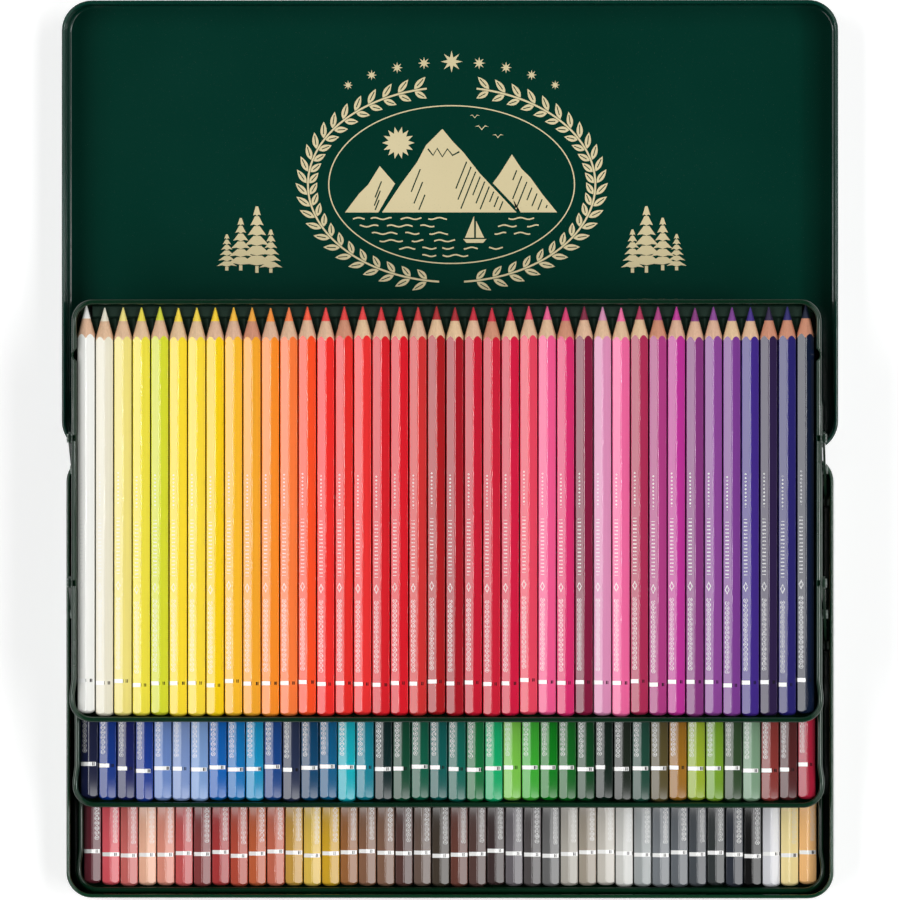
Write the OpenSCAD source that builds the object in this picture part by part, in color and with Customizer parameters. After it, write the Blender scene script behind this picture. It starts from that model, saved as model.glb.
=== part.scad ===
// Tin of coloured pencils: a shallow sheet-steel box whose two upper trays ride on swing arms, so that all
// three trays lie open like stairs, with the lid folded flat behind. Drawn open, the way it stands in use.
// The trays are sized by the pencils, the base by the trays and the lid by the base.
// X runs to the right, Y to the back, Z up. The origin is the centre of the base's underside.

/* [Pencils] */
// Pencils side by side in a tray
pencil_count = 40; // [40:5:40]
// Pencils in one node
group_size = 5; // [5:1:5]
// Length of a pencil
pencil_l = 175; // [172:0.5:176]
// Width of a pencil across two flat sides
pencil_af = 7.4; // [7:0.1:7.6]
// Gap between one pencil and the next
pencil_gap = 0.49; // [0.4:0.01:0.6]
// Radius of the coloured lead
lead_r = 1.87; // [1.6:0.01:2]
// Half angle of the sharpened point
point_angle = 15.5; // [14:0.1:17]
// Radius of the blunt tip of the lead
tip_r = 0.25; // [0.15:0.05:0.4]
// Radius of the dipped end's dome
end_dome_r = 5; // [4.6:0.1:6]
// How far the first and the last pencil sit back, clear of the tray's front corners
corner_shift = 1.1; // [0.9:0.05:1.1]

/* [Trays] */
// Room beside the outermost pencils
tray_side_room = 0.5; // [0.4:0.05:0.8]
// Room behind the points
tip_room = 1.2; // [1.2:0.1:2]
// Room in front of the dipped ends
end_room = 0.4; // [0.3:0.05:1]
// Height of a tray
tray_h = 12.5; // [12:0.1:13]
// Outer corner radius of a tray's rim
tray_corner_r = 9.3; // [8.8:0.1:10]
// Thickness of the trays' sheet
tray_t = 0.6; // [0.5:0.1:0.7]
// Radius of a tray's rolled rim
tray_bead_r = 1.1; // [1.05:0.05:1.2]
// Gap between one tray's rim and the next tray's floor when folded
stack_gap = 1; // [0.9:0.1:1.4]

/* [Box] */
// Gap between the trays' sides and the base's outer face
side_gap = 4.5; // [4.4:0.1:5]
// Gap between the base's front face and the trays' front rim when folded
front_gap = 2.15; // [2:0.05:2.5]
// Gap between the trays' rear rim and the base's rear face when folded
back_gap = 6.85; // [6.8:0.05:8]
// Gap between the base's rim and hinges and the middle tray when open
rim_room = 1.3; // [1.1:0.1:1.5]
// Gap between the top tray's rim and the closed lid
lid_room = 1.9; // [1.8:0.1:2.2]
// Outer corner radius of the base
base_corner_r = 11; // [9:0.5:14]
// Thickness of the base's and the lid's sheet
sheet_t = 0.8; // [0.7:0.1:0.9]
// Radius of the rolled edge of the base and the lid
box_bead_r = 0.8; // [0.7:0.05:0.9]
// How far the lid reaches past the base all round
lid_reach = 2; // [1.9:0.1:2.4]
// How far the closed lid's skirt covers the base's wall
lid_overlap = 2.8; // [2.4:0.1:3]
// Radius of the fold between a floor and its wall
foot_r = 2.5; // [2:0.1:3]

/* [Lift] */
// Distance from a tray's rear rim to the bottom tray's rear pivot
pivot_back = 12.5; // [12:0.5:14]
// Distance from the rear arms to the front arms
arm_spacing = 62; // [56:1:64]
// Height of the pivots above a tray's underside
pivot_h = 7; // [6.5:0.1:7.5]
// Width of an arm
arm_w = 6; // [5:0.5:6.5]
// Thickness of an arm
arm_t = 1; // [0.8:0.1:1.1]
// Radius of a pivot rivet's shank
rivet_r = 1; // [0.8:0.05:1.2]
// Radial running clearance of the pivots
pivot_gap = 0.05; // [0.03:0.01:0.08]

/* [Hinges] */
// Length of one hinge
hinge_l = 40; // [30:1:50]
// Distance from the middle hinge to each outer one
hinge_spacing = 110; // [90:1:120]
// Outer radius of the hinge knuckles
knuckle_r = 1.5; // [1.4:0.05:1.6]
// Radius of the hinge pins
hinge_pin_r = 0.8; // [0.7:0.05:0.9]
// Thickness of the hinge leaves
leaf_t = 0.6; // [0.5:0.05:0.6]
// Height of a leaf's plate
leaf_h = 11.7; // [10:0.1:12]

/* [Hidden] */
$fn = 48;
eps = 0.01;
LEVELS = ["bottom", "middle", "top"];

enamel = [0.02, 0.2, 0.15];
steel = [0.7, 0.71, 0.72];
cedar = [0.8, 0.6, 0.42];
liner_black = [0.06, 0.07, 0.07];

// the pencils lie edge up, so a corner stands above the axis
pencil_pitch = pencil_af + pencil_gap;
pencil_corner_r = pencil_af/2/cos(30);
cone_l = lead_r/tan(point_angle);
bore_end_room = 2.5;
lead_end = pencil_l - bore_end_room;

// a tray's rolled rim is centred over its wall
tray_w = pencil_count*pencil_pitch + 2*tray_side_room + 4*tray_bead_r;
tray_d = pencil_l + tip_room + end_room + 4*tray_bead_r;
tray_inset = tray_bead_r - tray_t/2;
tray_wall_x = tray_w/2 - tray_inset;
tray_pitch = tray_h + stack_gap;

// the base is as high as the hinges, which stand halfway up the closed tin
closed_h = 2*sheet_t + 2*tray_pitch + tray_h + lid_room;
hinge_z = closed_h/2;
base_h = hinge_z + knuckle_r;

// the folded trays stand on the base's floor, each pivot one reach forward of the pivot below it; opening
// turns every arm by a right angle, which swaps the pitch and the reach of one stage and lifts the middle
// tray clear of the base
arm_reach = base_h - sheet_t + rim_room;
stage_shift = tray_pitch + arm_reach;
stage_lift = arm_reach;
arm_angle = atan2(arm_reach, tray_pitch);
arm_stage = norm([tray_pitch, arm_reach]);

// the base holds the trays with room for the arms beside them
base_w = tray_w + 2*side_gap;
base_d = tray_d + front_gap + back_gap;
tray_y = -base_d/2 + front_gap + tray_d/2;

// the arms run just outside the trays' rims
rim_gap = 0.5;
arm_x = tray_w/2 + rim_gap;
rivet_head_r = 1.9;
rivet_head_t = 0.7;
rivet_tail_t = 0.4;
spacer_r = 2;

// rim details of a tray
slot_l = 2.6;
slot_w = 1.2;
slot_deep = 1.6;
dimple_r = 3.75;
dimple_back = 23.8;
dimple_y = tray_d/2 - dimple_back;
dimple_floor = 3;

// the grooved liner that carries the pencils, and the ledge under their points
liner_t = 0.6;
groove_flank = 30;
liner_corner_room = 1.8;
liner_half_w = tray_wall_x - foot_r - liner_corner_room;
liner_half_d = tray_d/2 - tray_inset - foot_r - liner_corner_room;
flank_h = pencil_af/2*tan(groove_flank);
pencil_axis_z = tray_t + liner_t + pencil_corner_r;
pencil_back_y = tray_d/2 - 2*tray_bead_r - tip_room;
ledge_gap = 0.4;
ledge_d = 5.2;
ledge_side_room = 8.5;
ledge_w = tray_w - 2*ledge_side_room;
ledge_h = 2.8;
ledge_chamfer = 0.6;
ledge_foot_run = 1.4;
ledge_foot_rise = 1.2;
ledge_groove = 0.4;
ledge_front = tray_d/2 - 2*tray_bead_r - ledge_gap - ledge_d;

// fixings of the bottom tray, each between two pencils
fixing_r = 1.25;
fixing_head_r = 2.2;
fixing_head_t = 0.5;
fixing_pencil_count = 15;
fixing_x = fixing_pencil_count*pencil_pitch;
fixing_inset = 30.5;
fixing_y = tray_d/2 - fixing_inset;
fixing_pocket_gap = 0.2;
fixing_pocket_room = 0.1;

// the lid turns about an axis just behind the base
lid_w = base_w + 2*lid_reach;
lid_d = base_d + 2*lid_reach;
lid_corner_r = base_corner_r + lid_reach;
hinge_y = base_d/2 + lid_reach;
lid_h = closed_h - base_h + lid_overlap;
lid_y = 2*hinge_y;
lid_inset = 2*box_bead_r - sheet_t;
lid_wall_y = hinge_y + lid_inset;
hinge_xs = [-hinge_spacing, 0, hinge_spacing];
knuckle_count = 5;
knuckle_gap = 0.3;
pin_clearance = 0.05;
pin_end = 0.4;
knuckle_bore_r = hinge_pin_r + pin_clearance;
knuckle_l = (hinge_l - (knuckle_count - 1)*knuckle_gap)/knuckle_count;
hinge_relief = 0.3;
bridge_t = 1.6;
bridge_drop = 1;
bridge_room = 0.1;
lid_slot_room = 0.5;
leaf_top = hinge_z - knuckle_r - hinge_relief;
leaf_bottom = leaf_top - leaf_h;
leaf_rivet_drop = 6.7;
leaf_rivet_z = leaf_top - leaf_rivet_drop;
leaf_rivet_x = 13;
leaf_rivet_r = 1.1;
leaf_head_r = 1.9;
leaf_head_t = 0.5;

// ---- shared shapes ----

// sweeps a profile, drawn at its distance from the corner's centre, round a rectangle with round corners
module around(w, d, r) {
    for (side = [0:3]) {
        across = side % 2 == 0 ? w : d;
        along = side % 2 == 0 ? d : w;
        rotate([0, 0, 90*side]) {
            translate([across/2 - r, 0, 0])
                rotate([90, 0, 0])
                    linear_extrude(along - 2*r, center = true)
                        children();
            translate([across/2 - r, along/2 - r, 0])
                rotate_extrude(angle = 90)
                    children();
        }
    }
}

module round_plate(w, d, r, t) {
    linear_extrude(t) {
        square([w - 2*r, d], center = true);
        square([w, d - 2*r], center = true);
        for (x = [-1, 1], y = [-1, 1])
            translate([x*(w/2 - r), y*(d/2 - r)])
                circle(r);
    }
}

// the section of a sheet wall: foot fold, upright and rolled edge; inset is from r to the wall's outer face
module wall_section(r, inset, h, t, bead_r) {
    outer = r - inset;
    translate([outer - t, foot_r])
        square([t, h - bead_r - foot_r]);
    intersection() {
        difference() {
            translate([outer - foot_r, foot_r])
                circle(foot_r);
            translate([outer - foot_r, foot_r])
                circle(foot_r - t);
        }
        translate([outer - foot_r, 0])
            square(foot_r);
    }
    translate([r - bead_r, h - bead_r])
        circle(bead_r);
}

module sheet_pan(w, d, r, h, t, bead_r, inset) {
    fold = inset + foot_r;
    around(w, d, r)
        wall_section(r, inset, h, t, bead_r);
    round_plate(w - 2*fold, d - 2*fold, r - fold, t);
}

// a cylinder along X from x to x + l
module x_rod(x, l, r) {
    translate([x, 0, 0])
        rotate([0, 90, 0])
            cylinder(h = l, r = r);
}

module y_rod(y, l, r) {
    translate([0, y, 0])
        rotate([-90, 0, 0])
            cylinder(h = l, r = r);
}

// moves a tray's own parts to where that tray stands open: level 0 is the bottom one
module at_level(level) {
    translate([0, tray_y + level*stage_shift, sheet_t + level*stage_lift])
        children();
}

// a pivot's place along its tray, side 1 on the rear arms and -1 on the front ones
function pivot_y(level, side) =
    tray_d/2 - pivot_back - level*arm_reach - (side > 0 ? 0 : arm_spacing);

// ---- box and lid ----

module base_tin() {
    color(enamel)
        difference() {
            sheet_pan(base_w, base_d, base_corner_r, base_h, sheet_t, box_bead_r, 0);
            for (x = hinge_xs, s = [-1, 1])
                translate([x + s*leaf_rivet_x, 0, leaf_rivet_z])
                    y_rod(base_d/2 - sheet_t - eps, sheet_t + 2*eps, leaf_rivet_r);
            for (x = [-1, 1], y = [-1, 1])
                translate([x*fixing_x, tray_y + y*fixing_y, -eps])
                    cylinder(h = sheet_t + 2*eps, r = fixing_r);
        }
}

module lid() {
    slot_h = lid_h - leaf_top + eps;
    color(enamel)
        difference() {
            translate([0, lid_y, 0])
                sheet_pan(lid_w, lid_d, lid_corner_r, lid_h, sheet_t, box_bead_r, lid_inset);
            for (x = hinge_xs) {
                translate([x - hinge_l/2 - lid_slot_room, hinge_y - eps, leaf_top])
                    cube([hinge_l + 2*lid_slot_room, 2*box_bead_r + 2*eps, slot_h]);
                for (s = [-1, 1])
                    translate([x + s*leaf_rivet_x, 0, leaf_rivet_z])
                        y_rod(lid_wall_y - eps, sheet_t + 2*eps, leaf_rivet_r);
            }
        }
}

// ---- hinges ----

// the knuckles of one leaf: every second one, from the given one on
module knuckles(first) {
    for (k = [first:2:knuckle_count - 1])
        translate([-hinge_l/2 + k*(knuckle_l + knuckle_gap), hinge_y, hinge_z])
            x_rod(0, knuckle_l, knuckle_r);
}

// the stems that join the knuckles to their leaf
module knuckle_stems(first, y, t, top) {
    for (k = [first:2:knuckle_count - 1])
        translate([-hinge_l/2 + k*(knuckle_l + knuckle_gap), y, leaf_top - eps])
            cube([knuckle_l, t, top - leaf_top + eps]);
}

module pin_bore() {
    translate([0, hinge_y, hinge_z])
        x_rod(-hinge_l/2 - eps, hinge_l + 2*eps, knuckle_bore_r);
}

module leaf_plate(y) {
    difference() {
        translate([-hinge_l/2, y, leaf_bottom])
            cube([hinge_l, leaf_t, leaf_top - leaf_bottom]);
        for (s = [-1, 1])
            translate([s*leaf_rivet_x, 0, leaf_rivet_z])
                y_rod(y - eps, leaf_t + 2*eps, leaf_rivet_r);
    }
}

module hinge_leaves_base() {
    bridge_l = hinge_y - knuckle_bore_r - bridge_room - base_d/2;
    color(steel)
        for (x = hinge_xs)
            translate([x, 0, 0]) {
                leaf_plate(base_d/2);
                difference() {
                    union() {
                        knuckles(0);
                        knuckle_stems(0, base_d/2, leaf_t, hinge_z);
                        for (k = [0:2:knuckle_count - 1])
                            translate([-hinge_l/2 + k*(knuckle_l + knuckle_gap), base_d/2,
                                       hinge_z - bridge_drop])
                                cube([knuckle_l, bridge_l, bridge_t]);
                    }
                    pin_bore();
                }
            }
}

module hinge_leaves_lid() {
    color(steel)
        for (x = hinge_xs)
            translate([x, 0, 0]) {
                leaf_plate(lid_wall_y - leaf_t);
                difference() {
                    union() {
                        knuckles(1);
                        knuckle_stems(1, lid_wall_y - leaf_t, leaf_t, hinge_z);
                    }
                    pin_bore();
                }
            }
}

module hinge_pins() {
    color(steel)
        for (x = hinge_xs)
            translate([x, hinge_y, hinge_z])
                x_rod(-hinge_l/2 - pin_end, hinge_l + 2*pin_end, hinge_pin_r);
}

// a rivet through a leaf and a wall, along Y, its head on the leaf's side
module leaf_rivet(leaf_face, wall_face) {
    way = sign(wall_face - leaf_face);
    start = min(leaf_face, wall_face);
    y_rod(start, abs(wall_face - leaf_face), leaf_rivet_r);
    for (face = [leaf_face - way*leaf_head_t/2, wall_face + way*leaf_head_t/2])
        y_rod(face - leaf_head_t/2, leaf_head_t, leaf_head_r);
}

module hinge_rivets_base() {
    color(steel)
        for (x = hinge_xs, s = [-1, 1])
            translate([x + s*leaf_rivet_x, 0, leaf_rivet_z])
                leaf_rivet(base_d/2 + leaf_t, base_d/2 - sheet_t);
}

module hinge_rivets_lid() {
    color(steel)
        for (x = hinge_xs, s = [-1, 1])
            translate([x + s*leaf_rivet_x, 0, leaf_rivet_z])
                leaf_rivet(lid_wall_y - leaf_t, lid_wall_y + sheet_t);
}

// ---- trays ----

module rim_slots() {
    for (x = [-1, 1], side = [-1, 1])
        translate([x*(tray_w/2 - tray_bead_r) - slot_w/2, pivot_y(2, side) - slot_l/2, tray_h - slot_deep])
            cube([slot_w, slot_l, slot_deep + eps]);
}

module side_dimples(r, floor_z) {
    for (x = [-1, 1])
        translate([x*(tray_w/2 - dimple_r), dimple_y, floor_z])
            cylinder(h = tray_h - floor_z, r = r);
}

// keeps only what lies outside the tray's inner wall face
module outside_wall() {
    kept = tray_inset + tray_t;
    for (x = [-1, 1])
        translate([x*(tray_w - kept)/2 - kept/2, -tray_d/2, 0])
            cube([kept, tray_d, tray_h]);
}

module tray(level) {
    at_level(level)
        difference() {
            union() {
                sheet_pan(tray_w, tray_d, tray_corner_r, tray_h, tray_t, tray_bead_r, tray_inset);
                intersection() {
                    side_dimples(dimple_r, dimple_floor);
                    outside_wall();
                }
            }
            rim_slots();
            translate([0, 0, tray_t])
                side_dimples(dimple_r - tray_t, dimple_floor);
            for (side = [-1, 1], x = [0, 1])
                translate([0, pivot_y(level, side), pivot_h])
                    mirror([x, 0, 0])
                        x_rod(tray_wall_x - tray_t - eps, tray_t + 2*eps, rivet_r);
            if (level == 0)
                for (x = [-1, 1], y = [-1, 1])
                    translate([x*fixing_x, y*fixing_y, -eps])
                        cylinder(h = tray_t + 2*eps, r = fixing_r);
        }
}

module tray_bottom() { color(enamel) tray(0); }
module tray_middle() { color(enamel) tray(1); }
module tray_top() { color(enamel) tray(2); }

module tray_fixings() {
    color(steel)
        for (x = [-1, 1], y = [-1, 1])
            translate([x*fixing_x, tray_y + y*fixing_y, 0]) {
                cylinder(h = sheet_t + tray_t, r = fixing_r);
                translate([0, 0, sheet_t + tray_t])
                    cylinder(h = fixing_head_t, r = fixing_head_r);
            }
}

// ---- grooved liners ----

function pencil_x(i) = (i - (pencil_count - 1)/2)*pencil_pitch;

// the liner's section across the tray: a V for each pencil, with a flat crest between neighbours
module liner_section() {
    crest = liner_t + flank_h;
    polygon(concat(
        [[-tray_wall_x, 0], [-tray_wall_x, crest]],
        [for (i = [0:pencil_count - 1], k = [-1:1])
            [pencil_x(i) + k*pencil_af/2, liner_t + abs(k)*flank_h]],
        [[tray_wall_x, crest], [tray_wall_x, 0]]));
}

// the ledge under the pencils' points, its front edge at 0; its back foot clears the tray's fold
module ledge_section() {
    polygon([[0, 0], [ledge_d - ledge_foot_run, 0], [ledge_d, ledge_foot_rise],
             [ledge_d, ledge_h - ledge_chamfer], [ledge_d - ledge_chamfer, ledge_h],
             [ledge_chamfer, ledge_h], [0, ledge_h - ledge_chamfer]]);
}

module liner(level) {
    groove_back = ledge_front - ledge_groove;
    at_level(level)
        difference() {
            translate([0, 0, tray_t])
                union() {
                    translate([0, groove_back, 0])
                        rotate([90, 0, 0])
                            linear_extrude(groove_back + liner_half_d)
                                intersection() {
                                    liner_section();
                                    translate([-liner_half_w, 0])
                                        square([2*liner_half_w, liner_t + flank_h]);
                                }
                    translate([-ledge_w/2, groove_back - ledge_groove, 0])
                        cube([ledge_w, 3*ledge_groove, liner_t]);
                    translate([-ledge_w/2, ledge_front, 0])
                        rotate([90, 0, 90])
                            linear_extrude(ledge_w)
                                ledge_section();
                }
            if (level == 0)
                for (x = [-1, 1], y = [-1, 1])
                    translate([x*fixing_x, y*fixing_y, tray_t - eps])
                        cylinder(h = fixing_head_t + fixing_pocket_room + eps,
                                 r = fixing_head_r + fixing_pocket_gap);
        }
}

module liner_bottom() { color(liner_black) liner(0); }
module liner_middle() { color(liner_black) liner(1); }
module liner_top() { color(liner_black) liner(2); }

// ---- swing arms and their rivets ----

// places children at a tray's four pivots, with X pointing away from the tray
module at_pivots(level) {
    at_level(level)
        for (side = [-1, 1])
            translate([0, pivot_y(level, side), pivot_h]) {
                children();
                mirror([1, 0, 0])
                    children();
            }
}

module rivets(level) {
    color(steel)
        at_pivots(level) {
            x_rod(tray_wall_x - tray_t - rivet_tail_t, rivet_tail_t, rivet_head_r);
            x_rod(tray_wall_x - tray_t, arm_x + arm_t + pivot_gap - tray_wall_x + tray_t, rivet_r);
            x_rod(arm_x + arm_t + pivot_gap, rivet_head_t, rivet_head_r);
        }
}

module spacers(level) {
    color(steel)
        at_pivots(level)
            difference() {
                x_rod(tray_wall_x, arm_x - pivot_gap - tray_wall_x, spacer_r);
                x_rod(tray_wall_x - eps, arm_x - tray_wall_x + 2*eps, rivet_r);
            }
}

module rivets_bottom() { rivets(0); }
module rivets_middle() { rivets(1); }
module rivets_top() { rivets(2); }
module spacers_bottom() { spacers(0); }
module spacers_middle() { spacers(1); }
module spacers_top() { spacers(2); }

// a flat bar with three pivot holes, turned to where it stands with the trays open
module swing_arm(side, x) {
    color(liner_black)
        at_level(0)
            translate([x, pivot_y(0, side), pivot_h])
                rotate([arm_angle, 0, 0])
                    difference() {
                        union() {
                            translate([0, 0, -arm_w/2])
                                cube([arm_t, 2*arm_stage, arm_w]);
                            for (y = [0, 2*arm_stage])
                                translate([0, y, 0])
                                    x_rod(0, arm_t, arm_w/2);
                        }
                        for (stage = [0:2])
                            translate([0, stage*arm_stage, 0])
                                x_rod(-eps, arm_t + 2*eps, rivet_r + pivot_gap);
                    }
}

module rear_arm_left() { swing_arm(1, -arm_x - arm_t); }
module rear_arm_right() { swing_arm(1, arm_x); }
module front_arm_left() { swing_arm(-1, -arm_x - arm_t); }
module front_arm_right() { swing_arm(-1, arm_x); }

// ---- pencils ----

// moves a pencil drawn upright on its tip, point down, to its place in a tray
module in_groove(level, i) {
    back = i == 0 || i == pencil_count - 1 ? corner_shift : 0;
    at_level(level)
        translate([pencil_x(i), pencil_back_y + back, pencil_axis_z])
            rotate([90, 0, 0])
                children();
}

module casing() {
    wide = pencil_af;
    intersection() {
        rotate([0, 0, 90])
            cylinder(h = pencil_l, r = pencil_corner_r, $fn = 6);
        rotate_extrude()
            difference() {
                intersection() {
                    polygon([[0, cone_l], [lead_r, cone_l], [wide, wide/tan(point_angle)],
                             [wide, pencil_l], [0, pencil_l]]);
                    union() {
                        square([wide, pencil_l - end_dome_r]);
                        translate([0, pencil_l - end_dome_r])
                            intersection() {
                                circle(end_dome_r);
                                square(end_dome_r);
                            }
                    }
                }
                square([lead_r, lead_end]);
            }
    }
}

module lead() {
    tip_l = tip_r/tan(point_angle);
    rotate_extrude()
        polygon([[0, tip_l], [tip_r, tip_l], [lead_r, cone_l], [lead_r, lead_end], [0, lead_end]]);
}

module pencils(level, group) {
    color(cedar)
        for (i = [0:group_size - 1])
            in_groove(level, (group - 1)*group_size + i)
                casing();
}

module leads(level) {
    color("gray")
        for (i = [0:pencil_count - 1])
            in_groove(level, i)
                lead();
}

module leads_bottom() { leads(0); }
module leads_middle() { leads(1); }
module leads_top() { leads(2); }

// ---- the object ----

base_tin();
lid();
hinge_leaves_base();
hinge_leaves_lid();
hinge_pins();
hinge_rivets_base();
hinge_rivets_lid();
tray_fixings();
tray_bottom();
tray_middle();
tray_top();
liner_bottom();
liner_middle();
liner_top();
spacers_bottom();
spacers_middle();
spacers_top();
rivets_bottom();
rivets_middle();
rivets_top();
rear_arm_left();
rear_arm_right();
front_arm_left();
front_arm_right();
leads_bottom();
leads_middle();
leads_top();
for (level = [0:2], group = [1:pencil_count/group_size])
    pencils(level, group);
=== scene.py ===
# %% [markdown]
# # A tin of coloured pencils, lying open
#
# The tin is a shallow box of green enamelled sheet steel. Two of its three trays ride on swing arms, so all
# three trays lie open like stairs, and the lid lies flat behind. The CAD frame gives every metal part its true
# shape and place. This script dresses it: it gives each finish its material, builds the pencils with their
# lacquer, cedar and foil, prints the lid, and lights the whole as in a plain product photograph.

# %% Load the frame
import math
import random

import bpy
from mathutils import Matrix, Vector


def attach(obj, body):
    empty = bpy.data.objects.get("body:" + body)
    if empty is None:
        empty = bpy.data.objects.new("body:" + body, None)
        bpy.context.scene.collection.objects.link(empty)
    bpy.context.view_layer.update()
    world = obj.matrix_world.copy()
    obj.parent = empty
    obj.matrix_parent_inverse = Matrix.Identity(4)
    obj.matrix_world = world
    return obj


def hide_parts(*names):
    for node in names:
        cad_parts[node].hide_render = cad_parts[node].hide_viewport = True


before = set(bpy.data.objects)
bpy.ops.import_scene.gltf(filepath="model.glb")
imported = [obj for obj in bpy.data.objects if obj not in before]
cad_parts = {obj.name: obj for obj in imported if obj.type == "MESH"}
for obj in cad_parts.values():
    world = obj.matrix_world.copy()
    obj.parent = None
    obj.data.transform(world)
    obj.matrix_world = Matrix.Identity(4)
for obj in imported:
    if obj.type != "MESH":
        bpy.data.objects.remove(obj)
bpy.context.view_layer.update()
MM = 0.001

# %% [markdown]
# ## Camera
#
# The photograph looks straight down from far away with a long lens, leaning a little over two degrees to the
# right: the lower trays sit slightly further right in the picture than the upper ones. The frame is square.

# %% Camera
VIEW_POINT = Vector((0.0002, 0.0976, 0.023))
VIEW_DISTANCE = 7.8
VIEW_LEAN = math.radians(2.3)
PICTURE_WIDTH = 0.3868


def add_camera():
    lean = Vector((math.sin(VIEW_LEAN), 0, math.cos(VIEW_LEAN)))
    data = bpy.data.cameras.new("photo_camera")
    data.sensor_width = 36
    data.lens = 36 * VIEW_DISTANCE / PICTURE_WIDTH
    data.clip_start, data.clip_end = 0.1, 50
    camera = bpy.data.objects.new("photo_camera", data)
    bpy.context.scene.collection.objects.link(camera)
    camera.location = VIEW_POINT + lean * VIEW_DISTANCE
    camera.rotation_euler = (0, VIEW_LEAN, 0)
    bpy.context.scene.camera = camera
    return camera


camera = add_camera()
print("lens", round(camera.data.lens), "mm")

# %% [markdown]
# ## Node helpers
#
# Each material is a small graph. `add` places a node and fills its sockets, either with a plain value or with
# the output of an earlier node, so a graph reads from top to bottom like a recipe.

# %% Node helpers
def add(tree, kind, values=(), **settings):
    node = tree.nodes.new(kind)
    for key, value in settings.items():
        setattr(node, key, value)
    for key, value in dict(values).items():
        socket = node.inputs[key]
        if isinstance(value, bpy.types.NodeSocket):
            tree.links.new(value, socket)
        else:
            socket.default_value = value
    return node


def calc(tree, operation, a, b=0.0, c=0.0, clamp=False):
    node = add(tree, "ShaderNodeMath", {0: a, 1: b, 2: c}, operation=operation, use_clamp=clamp)
    return node.outputs[0]


def mix(tree, factor, a, b):
    node = add(tree, "ShaderNodeMix", {0: factor, 6: a, 7: b}, data_type="RGBA")
    return node.outputs[2]


def ramp(tree, factor, low, high, to_low=0.0, to_high=1.0):
    node = add(tree, "ShaderNodeMapRange", {0: factor, 1: low, 2: high, 3: to_low, 4: to_high})
    return node.outputs[0]


def srgb(r, g, b):
    def linear(c):
        c /= 255
        return c / 12.92 if c <= 0.04045 else ((c + 0.055) / 1.055) ** 2.4
    return (linear(r), linear(g), linear(b), 1)


def new_material(name):
    material = bpy.data.materials.new(name)
    material.use_nodes = True
    tree = material.node_tree
    return material, tree, tree.nodes["Principled BSDF"]


print("helpers ready")

# %% [markdown]
# ## Shared effects
#
# Two effects are used by several materials, so each is a node group. **Surface** gives the slight orange peel
# of a sprayed finish, faint clouding, and fine specks of dust. **Streaks** gives fine lines along the
# pencils.

# %% Shared effects
def new_group(name, inputs, outputs):
    group = bpy.data.node_groups.new(name, "ShaderNodeTree")
    for label, kind, value in inputs:
        socket = group.interface.new_socket(label, in_out="INPUT", socket_type=kind)
        if value is not None:
            socket.default_value = value
    for label, kind in outputs:
        group.interface.new_socket(label, in_out="OUTPUT", socket_type=kind)
    return group, group.nodes.new("NodeGroupInput"), group.nodes.new("NodeGroupOutput")


def surface_group():
    group, given, out = new_group(
        "Surface",
        [("Grain", "NodeSocketFloat", 900.0), ("Relief", "NodeSocketFloat", 0.1)],
        [("Clouds", "NodeSocketFloat"), ("Specks", "NodeSocketFloat"), ("Normal", "NodeSocketVector")])
    place = add(group, "ShaderNodeTexCoord").outputs["Object"]
    peel = add(group, "ShaderNodeTexNoise",
               {"Vector": place, "Scale": given.outputs["Grain"], "Detail": 2.0, "Roughness": 0.5})
    clouds = add(group, "ShaderNodeTexNoise", {"Vector": place, "Scale": 14.0, "Detail": 3.0})
    dust = add(group, "ShaderNodeTexNoise", {"Vector": place, "Scale": 2600.0, "Detail": 1.0})
    bump = add(group, "ShaderNodeBump",
               {"Strength": given.outputs["Relief"], "Distance": 0.0002, "Height": peel.outputs[0]})
    specks = ramp(group, dust.outputs[0], 0.72, 0.78)
    group.links.new(ramp(group, clouds.outputs[0], 0.3, 0.7), out.inputs["Clouds"])
    group.links.new(specks, out.inputs["Specks"])
    group.links.new(bump.outputs[0], out.inputs["Normal"])
    return group


def streaks_group():
    group, given, out = new_group(
        "Streaks",
        [("Across", "NodeSocketFloat", 1500.0), ("Along", "NodeSocketFloat", 25.0)],
        [("Lines", "NodeSocketFloat")])
    place = add(group, "ShaderNodeTexCoord").outputs["Object"]
    scale = add(group, "ShaderNodeCombineXYZ",
                {0: given.outputs["Across"], 1: given.outputs["Along"], 2: given.outputs["Across"]})
    stretched = add(group, "ShaderNodeVectorMath", {0: place, 1: scale.outputs[0]}, operation="MULTIPLY")
    lines = add(group, "ShaderNodeTexNoise", {"Vector": stretched.outputs[0], "Scale": 1.0, "Detail": 3.0})
    group.links.new(ramp(group, lines.outputs[0], 0.3, 0.7), out.inputs["Lines"])
    return group


SURFACE = surface_group()
STREAKS = streaks_group()
print("groups", SURFACE.name, STREAKS.name)

# %% [markdown]
# ## Metal, enamel and liner
#
# The lid is a deep bottle green, the base a warmer one and the trays a darker one. Bare steel shows at the
# hinges. The grooved liners are a matt dark green plastic.

# %% Metal, enamel and liner
def enamel(name, deep, bright, roughness, coat, shine):
    material, tree, shader = new_material(name)
    surface = add(tree, "ShaderNodeGroup", {"Grain": 700.0, "Relief": 0.06}, node_tree=SURFACE)
    colour = mix(tree, surface.outputs["Clouds"], deep, bright)
    colour = mix(tree, calc(tree, "MULTIPLY", surface.outputs["Specks"], 0.25), colour, srgb(120, 135, 125))
    rough = ramp(tree, surface.outputs["Clouds"], 0, 1, roughness * 0.85, roughness * 1.15)
    tree.links.new(colour, shader.inputs["Base Color"])
    tree.links.new(rough, shader.inputs["Roughness"])
    tree.links.new(surface.outputs["Normal"], shader.inputs["Normal"])
    shader.inputs["Specular IOR Level"].default_value = shine
    shader.inputs["Coat Weight"].default_value = coat
    shader.inputs["Coat Roughness"].default_value = 0.06
    return material


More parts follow.
